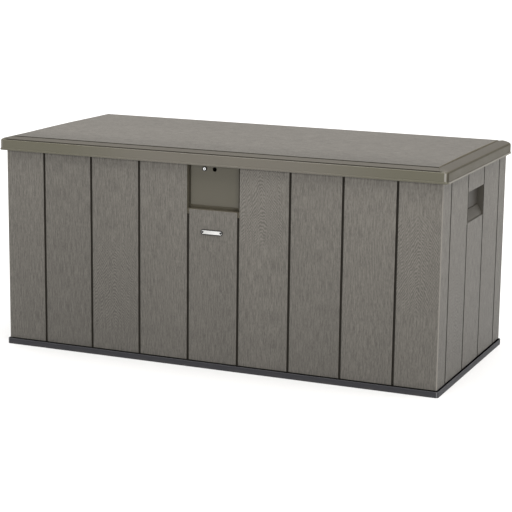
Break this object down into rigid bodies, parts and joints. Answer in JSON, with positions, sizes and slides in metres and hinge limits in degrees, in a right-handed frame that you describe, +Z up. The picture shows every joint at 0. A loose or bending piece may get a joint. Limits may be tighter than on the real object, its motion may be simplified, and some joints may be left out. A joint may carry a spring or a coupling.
{
  "type": "deck storage box",
  "caption": "Large rectangular outdoor resin storage chest with plank-look walls, a flat overhanging hinged lid, side hand pockets and a front recess with a lock.",
  "frame": {"origin": "centre of the overall box's footprint, on the ground plane", "axes": "+X along the long side to the right seen from the front, +Y from the front to the hinged rear, +Z up"},
  "size_m": [1.524, 0.731, 0.7002],
  "materials": {
    "wall_resin": "moulded resin with an embossed vertical wood grain, satin",
    "lid_resin": "moulded resin, embossed grain on the top panel and smooth satin borders",
    "liner_resin": "smooth moulded resin, dark grey brown",
    "base_resin": "fine-textured moulded resin, dark blue grey",
    "bracket_steel": "galvanised pressed steel",
    "zinc_steel": "zinc-plated fasteners",
    "polished_steel": "polished steel",
    "black_metal": "black painted tube",
    "black_plastic": "black moulded plastic",
    "badge_metal": "satin silver plate"
  },
  "bodies": {
    "root": {"base_tray": "base_resin", "front_panel": "wall_resin", "rear_panel": "wall_resin", "left_side_panel": "wall_resin", "right_side_panel": "wall_resin", "seam_screw_front_left_lower": "zinc_steel", "seam_screw_front_left_upper": "zinc_steel", "seam_screw_front_right_lower": "zinc_steel", "seam_screw_front_right_upper": "zinc_steel", "seam_screw_rear_left_lower": "zinc_steel", "seam_screw_rear_left_upper": "zinc_steel", "seam_screw_rear_right_lower": "zinc_steel", "seam_screw_rear_right_upper": "zinc_steel", "hinge_pin_1": "zinc_steel", "hinge_pin_2": "zinc_steel", "hinge_pin_3": "zinc_steel", "hinge_pin_4": "zinc_steel", "strut_bracket_left": "bracket_steel", "strut_bracket_right": "bracket_steel", "strut_bracket_screw_left": "zinc_steel", "strut_bracket_screw_right": "zinc_steel", "lock_housing": "black_plastic", "lock_nut": "zinc_steel", "badge_plate": "badge_metal", "badge_rivet_left": "black_plastic", "badge_rivet_right": "black_plastic"},
    "lid": {"lid_shell": "lid_resin", "lid_liner": "liner_resin", "lid_brace_front": "bracket_steel", "lid_brace_rear": "bracket_steel", "lid_screw_1": "zinc_steel", "lid_screw_2": "zinc_steel", "lid_screw_3": "zinc_steel", "lid_screw_4": "zinc_steel", "lid_screw_5": "zinc_steel", "lid_screw_6": "zinc_steel", "lid_screw_7": "zinc_steel", "lid_screw_8": "zinc_steel", "lid_bracket_left": "bracket_steel", "lid_bracket_right": "bracket_steel", "lid_bracket_screw_left": "zinc_steel", "lid_bracket_screw_right": "zinc_steel", "lid_keeper": "bracket_steel", "lid_keeper_screw": "zinc_steel"},
    "strut_tube_left": {"strut_tube_left": "black_metal"},
    "strut_rod_left": {"strut_rod_left": "polished_steel", "strut_stud_left": "zinc_steel"},
    "strut_tube_right": {"strut_tube_right": "black_metal"},
    "strut_rod_right": {"strut_rod_right": "polished_steel", "strut_stud_right": "zinc_steel"},
    "lock": {"lock_cylinder": "polished_steel", "lock_cam": "zinc_steel", "lock_cam_cap": "zinc_steel"}
  },
  "joints": [
    {"name": "lid_hinge", "type": "hinge", "parent": "root", "child": "lid", "pos_m": [0, 0.356, 0.648], "axis": [-1, 0, 0], "range_deg": [0, 90]},
    {"name": "strut_left_swing", "type": "hinge", "parent": "root", "child": "strut_tube_left", "pos_m": [-0.712, 0.28, 0.48], "axis": [-1, 0, 0], "range_deg": [0, 17]},
    {"name": "strut_left_slide", "type": "slide", "parent": "strut_tube_left", "child": "strut_rod_left", "axis": [0, 0.0571, 0.9984], "range_m": [0, 0.075]},
    {"name": "strut_right_swing", "type": "hinge", "parent": "root", "child": "strut_tube_right", "pos_m": [0.712, 0.28, 0.48], "axis": [-1, 0, 0], "range_deg": [0, 17]},
    {"name": "strut_right_slide", "type": "slide", "parent": "strut_tube_right", "child": "strut_rod_right", "axis": [0, 0.0571, 0.9984], "range_m": [0, 0.075]},
    {"name": "lock_turn", "type": "hinge", "parent": "root", "child": "lock", "pos_m": [-0.035, -0.33, 0.638], "axis": [0, 1, 0], "range_deg": [0, 90]}
  ],
  "couplings": [
    {"joint": "strut_left_swing", "follows": "lid_hinge", "ratio": 0.18066},
    {"joint": "strut_left_slide", "follows": "lid_hinge", "m_per_rad": 0.046472},
    {"joint": "strut_right_swing", "follows": "lid_hinge", "ratio": 0.18066},
    {"joint": "strut_right_slide", "follows": "lid_hinge", "m_per_rad": 0.046472}
  ]
}
